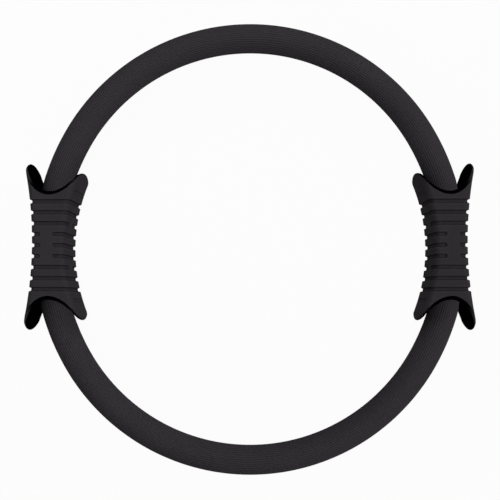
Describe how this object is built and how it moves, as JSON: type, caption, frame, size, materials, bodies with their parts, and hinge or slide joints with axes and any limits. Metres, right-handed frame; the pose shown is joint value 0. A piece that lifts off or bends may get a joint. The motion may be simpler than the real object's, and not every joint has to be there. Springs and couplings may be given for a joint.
{
  "type": "pilates ring",
  "caption": "Springy foam-covered exercise hoop with a ribbed, flared hand grip on each side, squeezed or pulled apart between hands, knees or ankles.",
  "frame": {"origin": "centre of the hoop, halfway through its depth", "axes": "+Z along the hoop's axis, towards the viewer of the picture; +X across the two grips, to the right in the picture; +Y across the two crowns, up in the picture"},
  "size_m": [0.352, 0.3592, 0.05],
  "materials": {
    "foam": null,
    "grip_rubber": "matt moulded soft-touch rubber",
    "clamp_plastic": "moulded black plastic",
    "steel": "zinc-plated steel",
    "stop_rubber": "matt moulded rubber",
    "band_glass_fibre": "satin glass-fibre laminate"
  },
  "bodies": {
    "left_grip": {"left_grip_sleeve": "grip_rubber", "left_inner_clamp": "clamp_plastic", "left_outer_clamp": "clamp_plastic", "left_splice_plate": "steel", "left_clamp_screws": "steel", "left_clamp_nuts": "steel"},
    "right_grip": {"right_grip_sleeve": "grip_rubber", "right_inner_clamp": "clamp_plastic", "right_outer_clamp": "clamp_plastic", "right_splice_plate": "steel", "right_clamp_screws": "steel", "right_clamp_nuts": "steel"},
    "upper_left": {"upper_left_foam": "foam", "upper_left_foam_stop": "stop_rubber", "upper_band": "band_glass_fibre"},
    "upper_right": {"upper_right_foam": "foam", "upper_right_foam_stop": "stop_rubber"},
    "lower_left": {"lower_left_foam": "foam", "lower_left_foam_stop": "stop_rubber", "lower_band": "band_glass_fibre"},
    "lower_right": {"lower_right_foam": "foam", "lower_right_foam_stop": "stop_rubber"}
  },
  "joints": [
    {"name": "squeeze", "type": "hinge", "parent": "left_grip", "child": "upper_left", "pos_m": [-0.15809, 0.02835, 0], "axis": [0, 0, 1], "range_deg": [-4, 11], "stiffness_Nm_per_rad": 12.4, "deforming": ["upper_left_foam"]},
    {"name": "crown_top", "type": "hinge", "parent": "upper_left", "child": "upper_right", "pos_m": [0, 0.168, 0], "axis": [0, 0, 1], "range_deg": [-22, 8], "stiffness_Nm_per_rad": 12, "deforming": ["upper_band"]},
    {"name": "right_upper", "type": "hinge", "parent": "upper_right", "child": "right_grip", "pos_m": [0.15809, 0.02835, 0], "axis": [0, 0, 1], "range_deg": [-4, 11], "stiffness_Nm_per_rad": 12.4, "deforming": ["upper_right_foam"]},
    {"name": "left_lower", "type": "hinge", "parent": "left_grip", "child": "lower_left", "pos_m": [-0.15809, -0.02835, 0], "axis": [0, 0, 1], "range_deg": [-11, 4], "stiffness_Nm_per_rad": 12.4, "deforming": ["lower_left_foam"]},
    {"name": "crown_bottom", "type": "hinge", "parent": "lower_left", "child": "lower_right", "pos_m": [0, -0.168, 0], "axis": [0, 0, 1], "range_deg": [-8, 22], "stiffness_Nm_per_rad": 12, "deforming": ["lower_band", "lower_right_foam"]}
  ],
  "couplings": [
    {"joint": "crown_top", "follows": "squeeze", "ratio": -2},
    {"joint": "right_upper", "follows": "squeeze", "ratio": 1},
    {"joint": "left_lower", "follows": "squeeze", "ratio": -1},
    {"joint": "crown_bottom", "follows": "squeeze", "ratio": 2}
  ]
}
